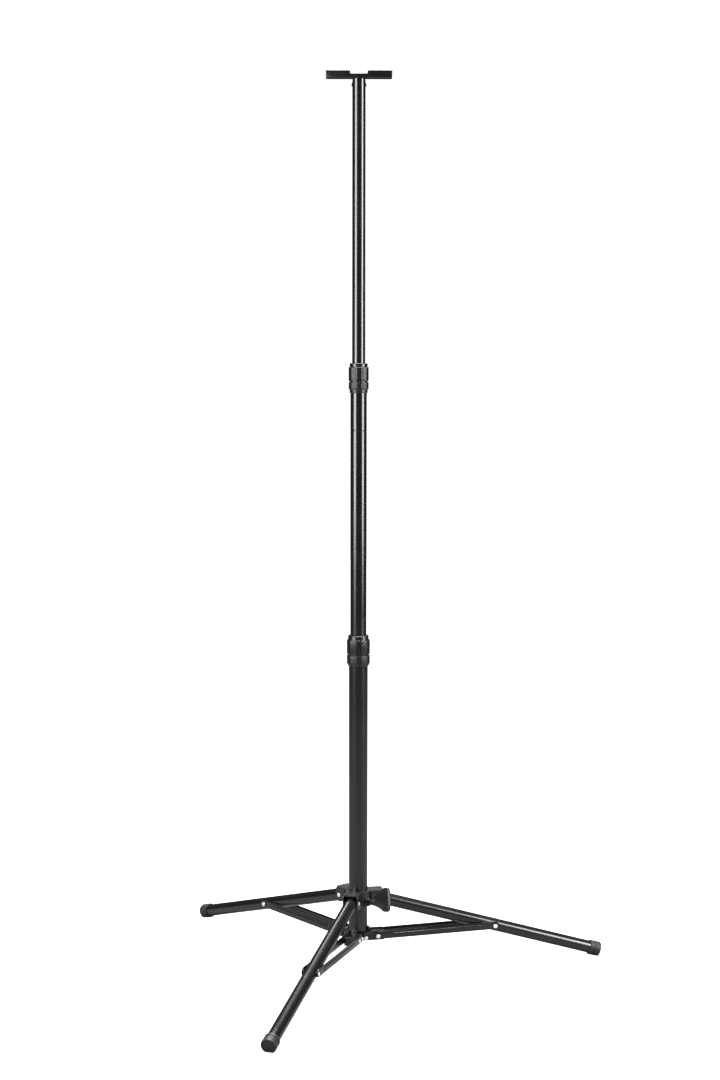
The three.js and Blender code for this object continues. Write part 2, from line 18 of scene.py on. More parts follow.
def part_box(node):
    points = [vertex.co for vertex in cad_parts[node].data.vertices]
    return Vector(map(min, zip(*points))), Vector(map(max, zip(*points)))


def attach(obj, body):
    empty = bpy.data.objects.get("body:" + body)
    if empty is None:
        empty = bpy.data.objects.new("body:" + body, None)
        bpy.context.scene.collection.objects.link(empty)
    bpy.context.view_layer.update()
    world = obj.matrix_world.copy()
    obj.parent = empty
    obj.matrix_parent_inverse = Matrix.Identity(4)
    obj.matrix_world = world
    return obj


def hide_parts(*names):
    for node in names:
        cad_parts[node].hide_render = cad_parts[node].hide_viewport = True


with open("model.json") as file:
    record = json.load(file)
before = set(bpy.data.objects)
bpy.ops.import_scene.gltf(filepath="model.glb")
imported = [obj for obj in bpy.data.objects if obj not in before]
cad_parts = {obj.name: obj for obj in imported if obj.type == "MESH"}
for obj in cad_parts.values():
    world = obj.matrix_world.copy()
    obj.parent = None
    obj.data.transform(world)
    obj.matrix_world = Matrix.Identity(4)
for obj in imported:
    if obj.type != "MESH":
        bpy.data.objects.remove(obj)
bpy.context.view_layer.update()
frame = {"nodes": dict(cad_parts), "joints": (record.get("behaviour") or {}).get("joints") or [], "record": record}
bodies_of = {node: body for body, nodes in frame["record"]["behaviour"]["bodies"].items() for node in nodes}
slot_of = {row["node"]: row["material_slot"] for row in frame["record"]["subparts"]}
joint = {j["name"]: j for j in frame["joints"]}
MM = 0.001
LEGS = ("right", "left", "front")

# %% [markdown]
# ## Camera
# The stand is looked at from about chest height, a little over three metres away, with a fairly
# long lens. The lens is tilted down slightly, so the feet are seen from above and the head a little
# from below. A tiny roll lets the pole stand straight in the frame.

# %% Camera
CAMERA_PLACE = (0.0024, -3.204, 1.0193)
CAMERA_PITCH_DOWN = 0.1011
CAMERA_ROLL = 0.0012
CAMERA_LENS = 68.25
CAMERA_SENSOR = 36

camera_data = bpy.data.cameras.new("camera")
camera_data.lens = CAMERA_LENS
camera_data.sensor_width = CAMERA_SENSOR
camera_data.clip_end = 100
camera = bpy.data.objects.new("camera", camera_data)
bpy.context.scene.collection.objects.link(camera)
looking = Matrix.Rotation(math.pi / 2 - CAMERA_PITCH_DOWN, 4, "X") @ Matrix.Rotation(CAMERA_ROLL, 4, "Z")
camera.matrix_world = Matrix.Translation(CAMERA_PLACE) @ looking
bpy.context.scene.camera = camera
print("camera lens", CAMERA_LENS, "mm at", CAMERA_PLACE)

# %% [markdown]
# ## Light
# Black gloss shows nothing but what it mirrors. So the studio is built for its reflections: a tall
# soft box on each side draws the two bright lines down the pole, a third one overhead draws the line
# along the top of each leg, and a small one high behind lights what faces up. The room is white to
# the camera, and dimmer to everything else, so that the tubes keep dark edges.

# %% Light
ROOM_WHITE = 1.3
ROOM_FILL = 0.02


def soft_box(name, place, aim, width, height, power):
    """A rectangular lamp at place that faces aim."""
    data = bpy.data.lights.new(name, "AREA")
    data.shape = "RECTANGLE"
    data.size = width
    data.size_y = height
    data.energy = power
    lamp = bpy.data.objects.new(name, data)
    bpy.context.scene.collection.objects.link(lamp)
    lamp.location = place
    lamp.rotation_euler = (Vector(aim) - Vector(place)).to_track_quat("-Z", "Y").to_euler()
    return lamp


soft_box("left_soft_box", (-1.75, -1.3, 1.3), (0, 0, 1.2), 1.15, 1.7, 95)
soft_box("right_soft_box", (2.1, -0.95, 1.3), (0, 0, 1.2), 0.8, 1.7, 95)
soft_box("top_soft_box", (0.1, 0.25, 2.9), (0.1, 0, 0), 1.1, 1.1, 250)
soft_box("back_soft_box", (0.1, 1.9, 1.9), (0, 0, 0.1), 1.4, 0.6, 22)

world = bpy.data.worlds.new("white_room")
bpy.context.scene.world = world
world.use_nodes = True
room = world.node_tree
room.nodes.clear()
room_out = room.nodes.new("ShaderNodeOutputWorld")
room_light = room.nodes.new("ShaderNodeBackground")
room_path = room.nodes.new("ShaderNodeLightPath")
room_level = room.nodes.new("ShaderNodeMix")
room_level.inputs["A"].default_value = ROOM_FILL
room_level.inputs["B"].default_value = ROOM_WHITE
room.links.new(room_path.outputs["Is Camera Ray"], room_level.inputs["Factor"])
room.links.new(room_level.outputs["Result"], room_light.inputs["Strength"])
room.links.new(room_light.outputs["Background"], room_out.inputs["Surface"])
bpy.context.scene.view_settings.view_transform = "Standard"
print("four soft boxes, room fill", ROOM_FILL)

# %% [markdown]
# ## Floor
# The stand is on a wide sheet of white paper with no edge in view. The paper glows for the camera
# only, so that it meets the white room without a line, while the stand still sees it as the grey it
# would be in this light.

# %% Floor
FLOOR_HALF = 6.0
FLOOR_GREY = (0.17, 0.17, 0.17, 1)
FLOOR_GLOW = 1.3

floor_mesh = bpy.data.meshes.new("floor")
floor_corners = [(FLOOR_HALF * x, FLOOR_HALF * y, 0) for x, y in ((-1, -1), (1, -1), (1, 1), (-1, 1))]
floor_mesh.from_pydata(floor_corners, [], [(0, 1, 2, 3)])
floor = bpy.data.objects.new("floor", floor_mesh)
bpy.context.scene.collection.objects.link(floor)
floor_paint = bpy.data.materials.new("floor_paper")
floor_paint.use_nodes = True
paper = floor_paint.node_tree.nodes["Principled BSDF"]
paper.inputs["Base Color"].default_value = FLOOR_GREY
paper.inputs["Roughness"].default_value = 0.9
paper.inputs["Specular IOR Level"].default_value = 0.1
paper.inputs["Emission Color"].default_value = (1, 1, 1, 1)
floor_path = floor_paint.node_tree.nodes.new("ShaderNodeLightPath")
floor_glow = floor_paint.node_tree.nodes.new("ShaderNodeMath")
floor_glow.operation = "MULTIPLY"
floor_glow.inputs[1].default_value = FLOOR_GLOW
floor_paint.node_tree.links.new(floor_path.outputs["Is Camera Ray"], floor_glow.inputs[0])
floor_paint.node_tree.links.new(floor_glow.outputs["Value"], paper.inputs["Emission Strength"])
floor_mesh.materials.append(floor_paint)
print("floor", 2 * FLOOR_HALF, "m square")

# %% [markdown]
# ## Shared finishes as node groups
# The stand has few materials, but all of them share the same small effects: a fine grain in the
# surface, a gloss that wanders where hands have been, lighter edges that are partly rubbed wear and
# partly a painted edge highlight, and a trace of dust on what faces up. Each effect is a node group with
# named sockets, built once. A group puts out only colours, masks and heights. The shader itself stays in
# each material, so that every constant sits on the shader's own socket.

# %% Helpers for node groups


def new_group(name, inputs, outputs):
    """A shader node group with float or colour sockets; returns the tree, its input node and its output node."""
    tree = bpy.data.node_groups.new(name, "ShaderNodeTree")
    for kind, sockets, way in (("in", inputs, "INPUT"), ("out", outputs, "OUTPUT")):
        for label, value in sockets.items():
            socket_type = "NodeSocketColor" if isinstance(value, tuple) else "NodeSocketFloat"
            socket = tree.interface.new_socket(label, in_out=way, socket_type=socket_type)
            if kind == "in":
                socket.default_value = value
    return tree, tree.nodes.new("NodeGroupInput"), tree.nodes.new("NodeGroupOutput")


def node(tree, kind, links=(), **settings):
    """Adds a node, sets its settings and inputs, and links its inputs from the given outputs."""
    made = tree.nodes.new(kind)
    for key, value in settings.items():
        if key.startswith("in_"):
            made.inputs[key[3:].replace("_", " ")].default_value = value
        else:
            setattr(made, key, value)
    for name, source in links:
        tree.links.new(source, made.inputs[name])
    return made


def math_node(tree, operation, first, second):
    """A Math node; first and second are outputs or plain numbers."""
    made = tree.nodes.new("ShaderNodeMath")
    made.operation = operation
    for index, value in enumerate((first, second)):
        if isinstance(value, (int, float)):
            made.inputs[index].default_value = value
        else:
            tree.links.new(value, made.inputs[index])
    return made.outputs[0]


def remap(tree, value, low, high, to_low, to_high):
    """A clamped Map Range node's output."""
    made = tree.nodes.new("ShaderNodeMapRange")
    made.clamp = True
    for label, number in (("From Min", low), ("From Max", high), ("To Min", to_low), ("To Max", to_high)):
        if isinstance(number, (int, float)):
            made.inputs[label].default_value = number
        else:
            tree.links.new(number, made.inputs[label])
    tree.links.new(value, made.inputs["Value"])
    return made.outputs["Result"]


print("node helpers ready")

# %% [markdown]
# ### Surface grain
# Powder coat has a soft orange peel about a millimetre across. Moulded nylon has the finer, sharper
# spark texture of its mould. Both are a noise read in the piece's own metres, so the grain has its true
# size and needs no unwrapping. The group mixes a coarse and a fine noise into one height.

# %% Surface grain group
grain_group, grain_in, grain_out = new_group(
    "surface_grain", {"Coarse Scale": 600.0, "Fine Scale": 2400.0, "Fine Share": 0.4}, {"Height": 0.0}
)
grain_place = node(grain_group, "ShaderNodeTexCoord")
grain_coarse = node(
    grain_group, "ShaderNodeTexNoise",
    [("Vector", grain_place.outputs["Object"]), ("Scale", grain_in.outputs["Coarse Scale"])], in_Detail=2.0,
)
grain_fine = node(
    grain_group, "ShaderNodeTexNoise",
    [("Vector", grain_place.outputs["Object"]), ("Scale", grain_in.outputs["Fine Scale"])], in_Detail=1.0,
)
grain_mix = node(
    grain_group, "ShaderNodeMix",
    [
        ("Factor", grain_in.outputs["Fine Share"]),
        ("A", grain_coarse.outputs["Fac"]),
        ("B", grain_fine.outputs["Fac"]),
    ],
)
grain_group.links.new(grain_mix.outputs["Result"], grain_out.inputs["Height"])
print("group", grain_group.name)

# %% [markdown]
# ### Handling marks
# Where tubes slide and hands grip, the gloss is uneven: soft smudges, and hairline scratches along the
# pole. The group stretches one noise along Z for the hairlines, lays a broad one over it for the
# smudges, and turns both into a roughness between a clean and a worn value.

# %% Handling marks group
marks_group, marks_in, marks_out = new_group(
    "handling_marks", {"Clean": 0.25, "Worn": 0.4, "Hairlines": 0.3}, {"Roughness": 0.0}
)
marks_place = node(marks_group, "ShaderNodeTexCoord")
marks_stretch = node(
    marks_group, "ShaderNodeMapping", [("Vector", marks_place.outputs["Object"])], in_Scale=(900.0, 900.0, 14.0)
)
marks_lines = node(
    marks_group, "ShaderNodeTexNoise", [("Vector", marks_stretch.outputs["Vector"])], in_Scale=1.0, in_Detail=2.0
)
marks_smudge = node(
    marks_group, "ShaderNodeTexNoise", [("Vector", marks_place.outputs["Object"])], in_Scale=22.0, in_Detail=5.0
)
line_mask = remap(marks_group, marks_lines.outputs["Fac"], 0.66, 0.74, 0.0, 1.0)
line_share = math_node(marks_group, "MULTIPLY", line_mask, marks_in.outputs["Hairlines"])
smudge_mask = remap(marks_group, marks_smudge.outputs["Fac"], 0.4, 0.72, 0.0, 1.0)
worn_mask = math_node(marks_group, "MAXIMUM", line_share, smudge_mask)
worn_value = remap(marks_group, worn_mask, 0.0, 1.0, marks_in.outputs["Clean"], marks_in.outputs["Worn"])
marks_group.links.new(worn_value, marks_out.inputs["Roughness"])
print("group", marks_group.name)

# %% [markdown]
# ### Rubbed edges, painted edge highlight and dust
# Corners that rub lose a little colour, and the same lighter rim also paints a highlight along every
# edge. What faces the ceiling collects a little dust. The edge mask comes from the mesh's own curvature
# (Pointiness), broken up by noise. The dust comes from how far the surface faces up. The group takes the
# piece's colour and gives it back with lighter edges, partly wear and partly painted highlight, and dusted.

# %% Edge wear, painted edge highlight and dust group
wear_highlight_dust_group, wear_highlight_dust_in, wear_highlight_dust_out = new_group(
    "edge_wear_highlight_and_dust",
    {
        "Colour": (0.02, 0.02, 0.02, 1.0), "Edge Colour": (0.1, 0.1, 0.1, 1.0),
        "Edge Wear And Highlight": 0.3, "Dust": 0.1, "Mottle": 0.15,
    },
    {"Colour": (0.0, 0.0, 0.0, 1.0)},
)
wear_highlight_dust_place = node(wear_highlight_dust_group, "ShaderNodeTexCoord")
wear_highlight_dust_shape = node(wear_highlight_dust_group, "ShaderNodeNewGeometry")
edge_break_noise = node(
    wear_highlight_dust_group, "ShaderNodeTexNoise", [("Vector", wear_highlight_dust_place.outputs["Object"])], in_Scale=260.0, in_Detail=3.0
)
worn_cloud = node(
    wear_highlight_dust_group, "ShaderNodeTexNoise", [("Vector", wear_highlight_dust_place.outputs["Object"])], in_Scale=30.0, in_Detail=4.0
)
# Lighter rims from curvature: partly rubbed wear, partly a painted edge highlight.
edge_line = remap(wear_highlight_dust_group, wear_highlight_dust_shape.outputs["Pointiness"], 0.53, 0.62, 0.0, 1.0)
edge_patch = remap(wear_highlight_dust_group, edge_break_noise.outputs["Fac"], 0.42, 0.62, 0.15, 1.0)
edge_break = math_node(wear_highlight_dust_group, "MULTIPLY", edge_line, edge_patch)
edge_wear_and_highlight_mask = math_node(wear_highlight_dust_group, "MULTIPLY", edge_break, wear_highlight_dust_in.outputs["Edge Wear And Highlight"])
cloud_level = remap(wear_highlight_dust_group, worn_cloud.outputs["Fac"], 0.3, 0.7, -1.0, 1.0)
cloud_swing = math_node(wear_highlight_dust_group, "MULTIPLY", cloud_level, wear_highlight_dust_in.outputs["Mottle"])
cloud_gain = math_node(wear_highlight_dust_group, "ADD", cloud_swing, 1.0)
mottled = node(
    wear_highlight_dust_group, "ShaderNodeVectorMath", [(0, wear_highlight_dust_in.outputs["Colour"]), ("Scale", cloud_gain)], operation="SCALE"
)
edged = node(wear_highlight_dust_group, "ShaderNodeMix", data_type="RGBA")
wear_highlight_dust_group.links.new(edge_wear_and_highlight_mask, edged.inputs["Factor"])
wear_highlight_dust_group.links.new(mottled.outputs[0], edged.inputs[6])
wear_highlight_dust_group.links.new(wear_highlight_dust_in.outputs["Edge Colour"], edged.inputs[7])
facing = node(wear_highlight_dust_group, "ShaderNodeSeparateXYZ", [("Vector", wear_highlight_dust_shape.outputs["Normal"])])
upward = remap(wear_highlight_dust_group, facing.outputs["Z"], 0.45, 1.0, 0.0, 1.0)
dust_patch = remap(wear_highlight_dust_group, worn_cloud.outputs["Fac"], 0.35, 0.65, 0.3, 1.0)
dust_fall = math_node(wear_highlight_dust_group, "MULTIPLY", upward, dust_patch)
dust_mask = math_node(wear_highlight_dust_group, "MULTIPLY", dust_fall, wear_highlight_dust_in.outputs["Dust"])
dusted = node(wear_highlight_dust_group, "ShaderNodeMix", data_type="RGBA")
dusted.inputs[7].default_value = (0.42, 0.41, 0.39, 1.0)
wear_highlight_dust_group.links.new(dust_mask, dusted.inputs["Factor"])
wear_highlight_dust_group.links.new(edged.outputs[2], dusted.inputs[6])
wear_highlight_dust_group.links.new(dusted.outputs[2], wear_highlight_dust_out.inputs["Colour"])
print("group", wear_highlight_dust_group.name)

# %% [markdown]
# ## Materials
# Every material is one Principled shader fed by the groups. The recipe is a table row: what changes
# from finish to finish is the colour, how rough it is clean and worn, how deep the grain is, and
# whether it is metal.

# %% Material builder


def finish(name, colour, edge, clean, worn, depth, coarse, fine, share, **extra):
    """A material on the shared groups. depth is the grain's height in metres."""
    material = bpy.data.materials.new(name)
    material.use_nodes = True
    tree = material.node_tree
    shader = tree.nodes["Principled BSDF"]
    grain = node(tree, "ShaderNodeGroup", node_tree=grain_group)
    grain.inputs["Coarse Scale"].default_value = coarse
    grain.inputs["Fine Scale"].default_value = fine
    grain.inputs["Fine Share"].default_value = share
    marks = node(tree, "ShaderNodeGroup", node_tree=marks_group)
    marks.inputs["Clean"].default_value = clean
    marks.inputs["Worn"].default_value = worn
    marks.inputs["Hairlines"].default_value = extra.get("hairlines", 0.3)
    tint = node(tree, "ShaderNodeGroup", node_tree=wear_highlight_dust_group)
    tint.inputs["Colour"].default_value = (*colour, 1)
    tint.inputs["Edge Colour"].default_value = (*edge, 1)
    # The edge share lightens every rim: partly rubbed wear, partly a painted edge highlight.
    tint.inputs["Edge Wear And Highlight"].default_value = extra.get("wear", 0.25)
    tint.inputs["Dust"].default_value = extra.get("dust", 0.05)
    tint.inputs["Mottle"].default_value = extra.get("mottle", 0.12)
    bump = node(tree, "ShaderNodeBump", [("Height", grain.outputs["Height"])], in_Strength=1.0, in_Distance=depth)
    tree.links.new(tint.outputs["Colour"], shader.inputs["Base Color"])
    tree.links.new(marks.outputs["Roughness"], shader.inputs["Roughness"])
    tree.links.new(bump.outputs["Normal"], shader.inputs["Normal"])
    shader.inputs["Metallic"].default_value = extra.get("metallic", 0.0)
    shader.inputs["Specular IOR Level"].default_value = extra.get("specular", 0.5)
    return material


FINISHES = {
    "black_powder_coat": finish(
        "black_powder_coat", (0.005, 0.0051, 0.0055), (0.04, 0.04, 0.04), 0.2, 0.26, 1.2e-6, 700, 2600, 0.3,
        hairlines=0.12, dust=0.008, wear=0.2, specular=0.6,
    ),
    "black_nylon": finish(
        "black_nylon", (0.007, 0.0072, 0.0075), (0.05, 0.05, 0.05), 0.34, 0.44, 5e-6, 1400, 4200, 0.5,
        hairlines=0.1, dust=0.015,
    ),
    "black_lock_plastic": finish(
        "black_lock_plastic", (0.006, 0.0061, 0.0065), (0.05, 0.05, 0.05), 0.25, 0.31, 4e-6, 1600, 4600, 0.5,
        hairlines=0.1, dust=0.01,
    ),
    # Bright steel rivets: the part-diffuse, near-white colour is partly the steel's own and partly a painted
    # highlight that makes them read bright.
    "bright_rivet_steel": finish(
        "bright_rivet_steel", (0.92, 0.92, 0.92), (0.96, 0.96, 0.96), 0.38, 0.5, 5e-6, 1800, 5200, 0.6,
        metallic=0.6, dust=0.0, mottle=0.05, wear=0.1,
    ),
    "dark_screw_steel": finish(
        "dark_screw_steel", (0.03, 0.03, 0.031), (0.25, 0.25, 0.26), 0.32, 0.45, 1e-5, 1500, 5200, 0.6,
        metallic=0.8, wear=0.4,
    ),
    "brass_insert": finish(
        "brass_insert", (0.2, 0.15, 0.08), (0.4, 0.32, 0.18), 0.4, 0.55, 8e-6, 1500, 5200, 0.6,
        metallic=1.0, dust=0.0,
    ),
    "black_rubber": finish(
        "black_rubber", (0.012, 0.012, 0.0125), (0.05, 0.05, 0.05), 0.46, 0.58, 1e-5, 900, 3000, 0.5,
        hairlines=0.0, dust=0.03, wear=0.15, specular=0.4,
    ),
}
print("materials", sorted(FINISHES))

# %% [markdown]
# ## Shapes
# Nearly everything here is turned, pressed from sheet or moulded. So three helpers carry the lesson:
# one rounds the corners of an outline with true arcs, one turns an outline round an axis, and one
# extrudes an outline as a plate with softened rims. Every mesh is written in the frame's own metres, and
# its object stays at the origin, which is also what keeps the grain at its true size.

# %% Outline helper


def soften(points, radius, steps=4):
    """Rounds every corner of a closed flat outline; a point may bring its own radius as a third number."""
    flat = [Vector(p[:2]) for p in points]
    radii = [p[2] if len(p) > 2 else radius for p in points]
    outline = []
    for i, corner in enumerate(flat):
        before, after = flat[i - 1] - corner, flat[(i + 1) % len(flat)] - corner
        if radii[i] <= 0 or before.length < 1e-9 or after.length < 1e-9:
            outline.append(tuple(corner))
            continue
        half = before.angle(after) / 2
        if half > math.radians(89):
            outline.append(tuple(corner))
            continue
        back = min(radii[i] / math.tan(half), before.length * 0.49, after.length * 0.49)
        size = back * math.tan(half)
        centre = corner + (before.normalized() + after.normalized()).normalized() * (size / math.sin(half))
        start, end = corner + before.normalized() * back - centre, corner + after.normalized() * back - centre
        sweep = start.angle_signed(end)
        for step in range(steps + 1):
            angle = -sweep * step / steps
            turned_start = Vector((
                start.x * math.cos(angle) - start.y * math.sin(angle),
                start.x * math.sin(angle) + start.y * math.cos(angle),
            ))
            outline.append(tuple(centre + turned_start))
    return outline


square = soften([(0, 0), (1, 0), (1, 1), (0, 1)], 0.1)
print("a softened square has", len(square), "points")

# %% [markdown]
# ### Mesh helpers
# One helper gives a finished mesh its object, its finish and the body it rides on, and hides the frame
# nodes that it stands for. The others turn, extrude, cut, join and round. The cuts are exact booleans
# that are settled at once, so that no modifier is left behind.

# %% Mesh helpers
SMOOTH_ANGLE = math.radians(32)


def put(name, mesh, replaced, place=None):
    """Makes the object, gives it the finish and the body of the CAD nodes that it replaces, and hides them."""
    if place is not None:
        mesh.transform(place)
        if place.determinant() < 0:
            mesh.flip_normals()
    mesh.shade_smooth()
    mesh.set_sharp_from_angle(angle=SMOOTH_ANGLE)
    made = bpy.data.objects.new(name, mesh)
    bpy.context.scene.collection.objects.link(made)
    slot = slot_of[replaced[0]]
    mesh.materials.clear()
    mesh.materials.append(FINISHES[slot])
    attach(made, bodies_of[replaced[0]])
    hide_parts(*replaced)
    return made


def to_mesh(name, shape):
    """A mesh from a bmesh, with its faces turned outwards."""
    bmesh.ops.remove_doubles(shape, verts=shape.verts, dist=1e-7)
    bmesh.ops.recalc_face_normals(shape, faces=shape.faces)
    mesh = bpy.data.meshes.new(name)
    shape.to_mesh(mesh)
    shape.free()
    return mesh


def turned(name, outline, facets=96):
    """Turns a closed outline of (radius, height) round Z."""
    shape = bmesh.new()
    rings = []
    for radius, height in outline:
        if radius < 1e-7:
            rings.append([shape.verts.new((0, 0, height))] * facets)
            continue
        ring = []
        for k in range(facets):
            angle = 2 * math.pi * k / facets
            ring.append(shape.verts.new((radius * math.cos(angle), radius * math.sin(angle), height)))
        rings.append(ring)
    for i, ring in enumerate(rings):
        other = rings[(i + 1) % len(rings)]
        for k in range(facets):
            corners = [ring[k], ring[(k + 1) % facets], other[(k + 1) % facets], other[k]]
            unique = list(dict.fromkeys(corners))
            if len(unique) > 2:
                shape.faces.new(unique)
    return to_mesh(name, shape)


def plate(name, outline, low, high, rim=0.0, steps=2):
    """Extrudes a flat outline from low to high along Z; rim rounds its two edges."""
    shape = bmesh.new()
    base = [shape.verts.new((x, y, low)) for x, y in outline]
    top = [shape.verts.new((x, y, high)) for x, y in outline]
    shape.faces.new(list(reversed(base)))
    shape.faces.new(top)
    count = len(outline)
    for i in range(count):
        shape.faces.new((base[i], base[(i + 1) % count], top[(i + 1) % count], top[i]))
    if rim > 0:
        bmesh.ops.recalc_face_normals(shape, faces=shape.faces)
        rims = [e for e in shape.edges if abs(e.verts[0].co.z - e.verts[1].co.z) < 1e-9]
        bmesh.ops.bevel(shape, geom=rims, offset=rim, segments=steps, profile=0.5, affect="EDGES")
    return to_mesh(name, shape)


def box_mesh(name, low, high):
    """A plain box, for cutting."""
    corners = [(low[0], low[1]), (high[0], low[1]), (high[0], high[1]), (low[0], high[1])]
    return plate(name, corners, low[2], high[2])


def combine(name, body, others, operation):
    """Joins others to a mesh, or cuts them from it, with an exact boolean; returns the new mesh."""
    holder = bpy.data.objects.new(name, body)
    bpy.context.scene.collection.objects.link(holder)
    helpers = []
    for other in others:
        helper = bpy.data.objects.new(name + "_helper", other)
        bpy.context.scene.collection.objects.link(helper)
        helpers.append(helper)
        step = holder.modifiers.new("step", "BOOLEAN")
        step.operation = operation
        step.solver = "EXACT"
        step.object = helper
    settled = bpy.data.meshes.new_from_object(holder.evaluated_get(bpy.context.evaluated_depsgraph_get()))
    for temporary in [holder, *helpers]:
        bpy.data.objects.remove(temporary)
    return settled


def eased(mesh, width, segments=2, angle=30):
    """Rounds a mesh's sharp edges with a bevel."""
    holder = bpy.data.objects.new("eased", mesh)
    bpy.context.scene.collection.objects.link(holder)
    bevel = holder.modifiers.new("ease", "BEVEL")
    bevel.width = width
    bevel.segments = segments
    bevel.limit_method = "ANGLE"
    bevel.angle_limit = math.radians(angle)
    bevel.use_clamp_overlap = True
    settled = bpy.data.meshes.new_from_object(holder.evaluated_get(bpy.context.evaluated_depsgraph_get()))
    bpy.data.objects.remove(holder)
    return settled


UPRIGHT = Matrix.Rotation(math.pi / 2, 4, "X")
ALONG_X = Matrix.Rotation(math.pi / 2, 4, "Y")
ALONG_Y = Matrix.Rotation(-math.pi / 2, 4, "X")
print("mesh helpers ready")

# %% [markdown]
# ## Pole tubes
# The pole is three lengths of drawn steel tube, one inside the next, coated black before assembly. A
# cut tube end is deburred, so its lip is round and not sharp. The middle tube has one shallow groove
# rolled into it, the maker's mark for how far it may be pulled out. Each tube is one outline turned
# round the pole, with extra rings beside the lips so that the shading stays even along it.

# %% Pole tubes


def mm(*points):
    """Points given in millimetres, in metres."""
    return [tuple(value * MM for value in point) for point in points]


def pole_tube(node, wall, ring_at=None):
    low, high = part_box(node)
    outside, inside = high.x, high.x - wall * MM
    lip, rest = 0.3 * MM, 3 * MM
    outline = [(inside, low.z, lip), (outside, low.z, lip), (outside, low.z + rest, 0)]
    if ring_at is not None:
        for offset, depth in ((-4, 0), (-1.1, 0), (0, 0.28), (1.1, 0), (4, 0)):
            outline.append((outside - depth * MM, ring_at + offset * MM, 0.8 * MM if abs(offset) < 4 else 0))
    outline += [(outside, high.z - rest, 0), (outside, high.z, lip), (inside, high.z, lip)]
    outline += [(inside, high.z - rest, 0), (inside, low.z + rest, 0)]
    put(node + "_skin", turned(node, soften(outline, 0)), [node])
    print(node, "radius", round(outside / MM, 2), "mm, from", round(low.z, 4), "to", round(high.z, 4), "m")


pole_tube("outer_tube", 1.2)
pole_tube("middle_tube", 1.1, ring_at=0.866)
pole_tube("top_tube", 1.1)

# %% [markdown]
# ## Twist locks
# Each joint of the pole has a twist lock: a ribbed base fixed on the lower tube and a ribbed nut above
# it that squeezes a split ring on the upper tube. Both are injection moulded. Six wide pads alternate
# with six narrow ribs, the pads carry fine flutes for grip, and every pad ends in a round shoulder so
# that the mould opens freely. The mesh is a stack of rings. Each ring blends between a pad radius and a
# groove radius with one mask round the circle, so pads, grooves and flutes come from the same rows.

# %% Grip mask
GRIP_FIRST_PAD = 4.0
GRIP_PERIOD = 60.0
PAD_HALF = 20.0
RIB_HALF = 4.0
FLANK = 1.8
FLUTE_PITCH = 3.4
FLUTE_SHARE = 0.16
GRIP_STEPS = 360


def grip_level(degrees):
    """1 on a pad or a rib, 0 in a groove, and a little less than 1 in a pad's flutes."""
    along = (degrees - GRIP_FIRST_PAD) % GRIP_PERIOD
    from_pad = min(along, GRIP_PERIOD - along)
    inside = max(PAD_HALF - from_pad, RIB_HALF - abs(along - GRIP_PERIOD / 2))
    level = min(max(inside / FLANK + 0.5, 0), 1)
    level = level * level * (3 - 2 * level)
    if from_pad < PAD_HALF - 2 * FLANK:
        level -= FLUTE_SHARE * (0.5 - 0.5 * math.cos(2 * math.pi * from_pad / FLUTE_PITCH))
    return level


grip_levels = [grip_level(360 * k / GRIP_STEPS) for k in range(GRIP_STEPS)]
print("grip mask mean", round(float(np.mean(grip_levels)), 3))

# %% [markdown]
# ### Lock meshes
# A lock's rows are listed from its foot upwards on the outside and back down its bore, each with a pad
# radius and a groove radius. A plain row gives both the same value, and is then a plain ring. The nut
# ends in a smooth cap with a quarter-round shoulder.

# %% Lock meshes


def pad_rows(low, high, pad, groove, ease):
    """Rows of (height, pad radius, groove radius) for a band of pads with round lower and upper shoulders."""
    rows = []
    for step in range(6):
        angle = math.pi / 2 * step / 5
        rows.append((low + ease * (1 - math.cos(angle)), pad - ease * (1 - math.sin(angle))))
    rows += [(low + high - height, radius) for height, radius in reversed(rows)]
    return [(height, radius, min(radius, groove)) for height, radius in rows]


def plain_rows(*rows):
    return [(height, radius, radius) for height, radius in rows]


def ribbed(name, rows):
    """Stacks the rows, given in millimetres, into one closed body; the last rows come back down the bore."""
    shape = bmesh.new()
    rings = []
    for height, pad, groove in rows:
        ring = []
        for k, level in enumerate(grip_levels):
            angle = 2 * math.pi * k / GRIP_STEPS
            radius = (groove + (pad - groove) * level) * MM
            ring.append(shape.verts.new((radius * math.cos(angle), radius * math.sin(angle), height * MM)))
        rings.append(ring)
    for i, ring in enumerate(rings):
        other = rings[(i + 1) % len(rings)]
        for k in range(GRIP_STEPS):
            after = (k + 1) % GRIP_STEPS
            shape.faces.new((ring[k], ring[after], other[after], other[k]))
    return to_mesh(name, shape)


def lock_base(node, foot, pads, tube_top, grip, neck, bore):
    """foot is rows of (height, radius); pads is the band's (low, high)."""
    rows = plain_rows(*foot)
    rows += pad_rows(*pads, grip, grip - 0.95, 1.2)
    rows += plain_rows((pads[1] + 0.01, neck), (tube_top - 0.3, neck), (tube_top, neck - 0.3))
    rows += plain_rows((tube_top, bore), (foot[0][0], bore))
    put(node + "_skin", ribbed(node, rows), [node])


def lock_nut(node, pads, cap, top, tube_top, grip, bores):
    """bores is the radii of the thread, the collet's seat and the upper tube's hole."""
    thread, seat, hole = bores
    shoulder = 1.7
    rows = pad_rows(*pads, grip, grip - 0.95, 1.2)
    rows += plain_rows((pads[1] + 0.05, cap + 0.35), (pads[1] + 0.5, cap + 0.08), (pads[1] + 1.1, cap))
    for step in range(7):
        angle = math.pi / 2 * step / 6
        rows += plain_rows((top - shoulder * (1 - math.sin(angle)), cap - shoulder * (1 - math.cos(angle))))
    rows += plain_rows((top, hole + 0.25), (top - 0.25, hole), (top - 2, hole), (top - 2, seat))
    rows += plain_rows((tube_top + 0.3, seat), (tube_top + 0.3, thread), (pads[0], thread))
    put(node + "_skin", ribbed(node, rows), [node])


